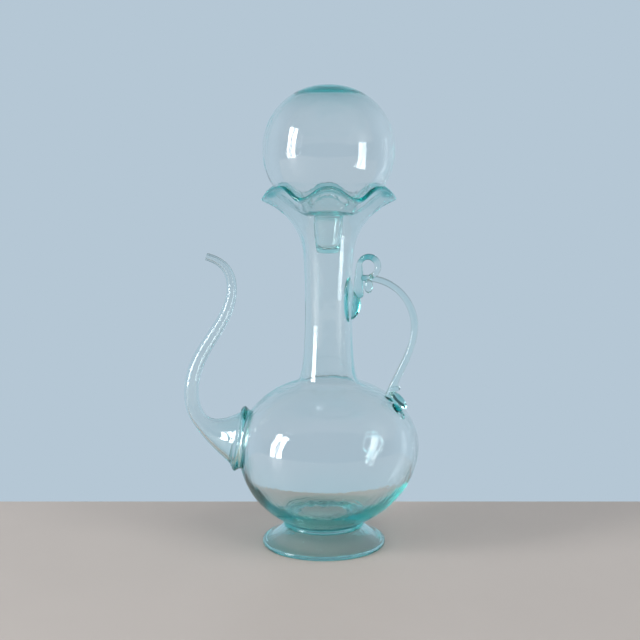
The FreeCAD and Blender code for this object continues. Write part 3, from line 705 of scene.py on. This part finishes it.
class Nodes:
    """The nodes of a material or a world, emptied first, with its output node made."""

    def __init__(self, owner, output):
        owner.use_nodes = True
        self.tree = owner.node_tree
        self.tree.nodes.clear()
        self.output = self.tree.nodes.new(output)

    def node(self, kind, settings=None, sockets=None, **inputs):
        """A node of that kind, its settings first and then the values or wires of its sockets.

        Sockets are given by name, with _ for a space, or by number where names are shared.
        """
        node = self.tree.nodes.new(kind)
        for name, value in (settings or {}).items():
            setattr(node, name, value)
        named = {name.replace("_", " "): value for name, value in inputs.items()}
        for key, value in {**(sockets or {}), **named}.items():
            if isinstance(value, Wire):
                self.tree.links.new(value.socket, node.inputs[key])
            else:
                node.inputs[key].default_value = value
        return node

    def wire(self, node, output=0):
        return Wire(self.tree, node.outputs[output])

    def blend(self, share, first, second):
        """The colour between two, by a share."""
        mix = self.node("ShaderNodeMix", {"data_type": "RGBA"}, {0: share, 6: first, 7: second})
        return self.wire(mix, 2)

    def show(self, **shaders):
        """Links shaders to the output's Surface or Volume."""
        for name, shader in shaders.items():
            self.tree.links.new(shader.outputs[0], self.output.inputs[name])


def glass_paint(name):
    """Clear aqua glass: what it takes off grows with the way through it.

    Slow waves, fine drawn lines along the axis and a faint bloom bend and dull the shine a little.
    """
    material = bpy.data.materials.new(name)
    paint = Nodes(material, "ShaderNodeOutputMaterial")
    place = paint.wire(paint.node("ShaderNodeTexCoord"), "Object")
    slow = paint.wire(paint.node("ShaderNodeTexNoise", Vector=place, Scale=38.0, Detail=1.5,
                                 Roughness=0.4))
    drawn_out = paint.wire(paint.node("ShaderNodeMapping", Vector=place, Scale=(1.0, 1.0, 0.05)))
    drawn = paint.wire(paint.node("ShaderNodeTexNoise", Vector=drawn_out, Scale=230.0, Detail=1.5))
    # The drawn lines run up the neck and bulb, and stop short of the spout.
    reach = paint.wire(paint.node("ShaderNodeSeparateXYZ", Vector=place), "X")
    near = (reach * 60 + 5.4).clamped()
    height = slow * 0.75 + drawn * near * 0.25
    bump = paint.wire(paint.node("ShaderNodeBump", Height=height, Strength=0.35, Distance=0.0012))
    bloom = paint.wire(paint.node("ShaderNodeTexNoise", Vector=place, Scale=22.0, Detail=4.0))
    deep = paint.wire(paint.node("ShaderNodeAttribute", {"attribute_name": "depth"}), "Fac")
    glass = paint.node(
        "ShaderNodeBsdfPrincipled", Base_Color=paint.blend(deep, CLEAR_TONE, DEEP_TONE),
        Roughness=bloom * 0.03, IOR=1.5, Transmission_Weight=1.0, Normal=bump,
    )
    absorb = paint.node("ShaderNodeVolumeAbsorption", Color=GLASS_KEEPS, Density=GLASS_DENSITY)
    paint.show(Surface=glass, Volume=absorb)
    return material


def shaded(colour, level):
    """An opaque colour, a share as bright."""
    return (*(level * v for v in colour), 1)


def room():
    """A pale wall colour for the world.

    Seen in reflections and through the glass, the room is darker on the camera's side. Light that
    reaches the table top through the glass stands in for the lamps' as well.
    """
    world = bpy.data.worlds.new("room")
    bpy.context.scene.world = world
    air = Nodes(world, "ShaderNodeOutputWorld")
    path = air.node("ShaderNodeLightPath")
    camera, glossy, through = (
        air.wire(path, name) for name in ("Is Camera Ray", "Is Glossy Ray", "Is Transmission Ray"))
    beyond = air.wire(path, "Diffuse Depth").maths("MINIMUM", 1.0)

    generated = air.wire(air.node("ShaderNodeTexCoord"), "Generated")
    way = air.node("ShaderNodeSeparateXYZ", Vector=generated)
    behind = (air.wire(way, "Y") * 1.6 + 0.3).clamped()
    level = (1.6 - 1.6 * air.wire(way, "Z").maths("ABSOLUTE")).clamped()
    bright = (behind * level).maths("MAXIMUM", camera)
    shown = air.node("ShaderNodeBackground",
                     Color=air.blend(bright, shaded(SKY, 0.22), shaded(SKY, 1)))
    lit = air.node("ShaderNodeBackground", Color=ROOM_LIGHT, Strength=through * beyond + 0.55)
    share = camera.maths("MAXIMUM", glossy.maths("MAXIMUM", through)) * (1 - beyond)
    air.show(Surface=air.node("ShaderNodeMixShader",
                              sockets={0: share, 1: air.wire(lit), 2: air.wire(shown)}))


def table_top():
    """A plain pale table top whose back edge lies a little behind the vessel."""
    material = bpy.data.materials.new("table_top")
    paint = Nodes(material, "ShaderNodeOutputMaterial")
    place = paint.wire(paint.node("ShaderNodeTexCoord"), "Object")
    grain = paint.wire(paint.node("ShaderNodeTexNoise", Vector=place, Scale=6.0, Detail=6.0))
    colour = paint.blend(grain, shaded(FLOOR, 0.94), shaded(FLOOR, 1.06))
    paint.show(Surface=paint.node("ShaderNodeBsdfPrincipled", Base_Color=colour, Roughness=0.55))
    mesh = bpy.data.meshes.new("table_top")
    wide, deep = 1.6, -0.04
    around = [(-wide, -wide), (wide, -wide), (wide, TABLE_BACK), (-wide, TABLE_BACK)]
    mesh.from_pydata(
        [(*spot, 0) for spot in around] + [(*spot, deep) for spot in around], [],
        [(0, 1, 2, 3), (7, 6, 5, 4), (0, 4, 5, 1), (1, 5, 6, 2), (2, 6, 7, 3), (3, 7, 4, 0)])
    mesh.materials.append(material)
    top = bpy.data.objects.new("table_top", mesh)
    bpy.context.scene.collection.objects.link(top)


def softbox(name, middle, aim, size, watts):
    """A rectangular lamp at middle that faces aim, unseen by the camera itself."""
    lamp = bpy.data.lights.new(name, "AREA")
    lamp.shape = "RECTANGLE"
    lamp.size, lamp.size_y = size
    lamp.energy = watts
    thing = bpy.data.objects.new(name, lamp)
    thing.location = middle
    thing.rotation_euler = (Vector(aim) - Vector(middle)).to_track_quat("-Z", "Y").to_euler()
    thing.visible_camera = False
    bpy.context.scene.collection.objects.link(thing)
    return thing


def camera():
    """The camera: a little above the object's middle, looking down."""
    data = bpy.data.cameras.new("camera")
    data.sensor_width = 36
    data.lens = 68.85
    thing = bpy.data.objects.new("camera", data)
    thing.location = EYE
    thing.rotation_euler = (math.radians(90 - LOOKS_DOWN), 0, 0)
    bpy.context.scene.collection.objects.link(thing)
    bpy.context.scene.camera = thing


camera()
scene = bpy.context.scene
scene.view_settings.view_transform = "Standard"
# Light runs a long way inside a thin glass wall before it comes out.
scene.cycles.max_bounces = BOUNCES
scene.cycles.transmission_bounces = BOUNCES
scene.cycles.glossy_bounces = BOUNCES
room()
table_top()

aim = Vector((0, 0, 0.25))
left = Vector((-0.912, -0.365, 0.185)).normalized()
along = left.cross(Vector((0, 0, 1))).normalized()
for name, aside, watts in (("window_1", -0.187, 27), ("window_2", 0.171, 21)):
    facing = aim + along * aside
    softbox(name, facing + left * 2.2, facing, (0.277, 1.63), watts)
fill = softbox("fill", (1.6, -1.6, 2.5), aim, (2.2, 2.2), 44)
fill.visible_glossy = False
fill.visible_transmission = False

body = melted("ewer_glass", vessel(), [foot(), spout()] + handle(), [bore()])
smooth(body)
# The glass is deepest in its thick places: the handle's drop, curl, strap and sole, the spout's
# seal below and above, and the rims of the lip, the foot and the collar.
tinted(body, [
    (swung(np.array((27.0, 0.0, 204.0))), (8.0, 9.0, 13.0), 1.0),
    (swung(np.array((33.0, 0.0, 247.0))), (9.0, 9.0, 5.5), 0.75),
    (swung(np.array((30.5, 0.0, 228.0))), (3.0, 9.0, 9.0), 0.55),
    (swung(np.array((61.0, 0.0, 129.0))), (6.0, 6.0, 6.0), 0.9),
    ((-74.0, 0.0, 64.0), (7.0, 30.0, 12.0), 0.5),
    ((-70.0, 0.0, 115.0), (7.0, 22.0, 9.0), 0.5),
    (None, (51.8, 301.0, 3.0), 0.6),
    (None, (52.5, 2.5, 5.0), 0.3),
    (None, (36.0, 20.0, 6.0), 0.3),
])
body.data.materials.append(glass_paint("aqua_glass"))
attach(body, "root")
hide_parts("ewer")

plug = stopper()
plug.name = "ball_stopper"
smooth(plug)
tinted(plug, [(None, (0.0, 388.0, 36.0), 0.3), (None, (15.0, 280.5, 3.2), 0.35)])
plug.data.materials.append(glass_paint("aqua_glass_ball"))
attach(plug, "root")
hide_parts("stopper")
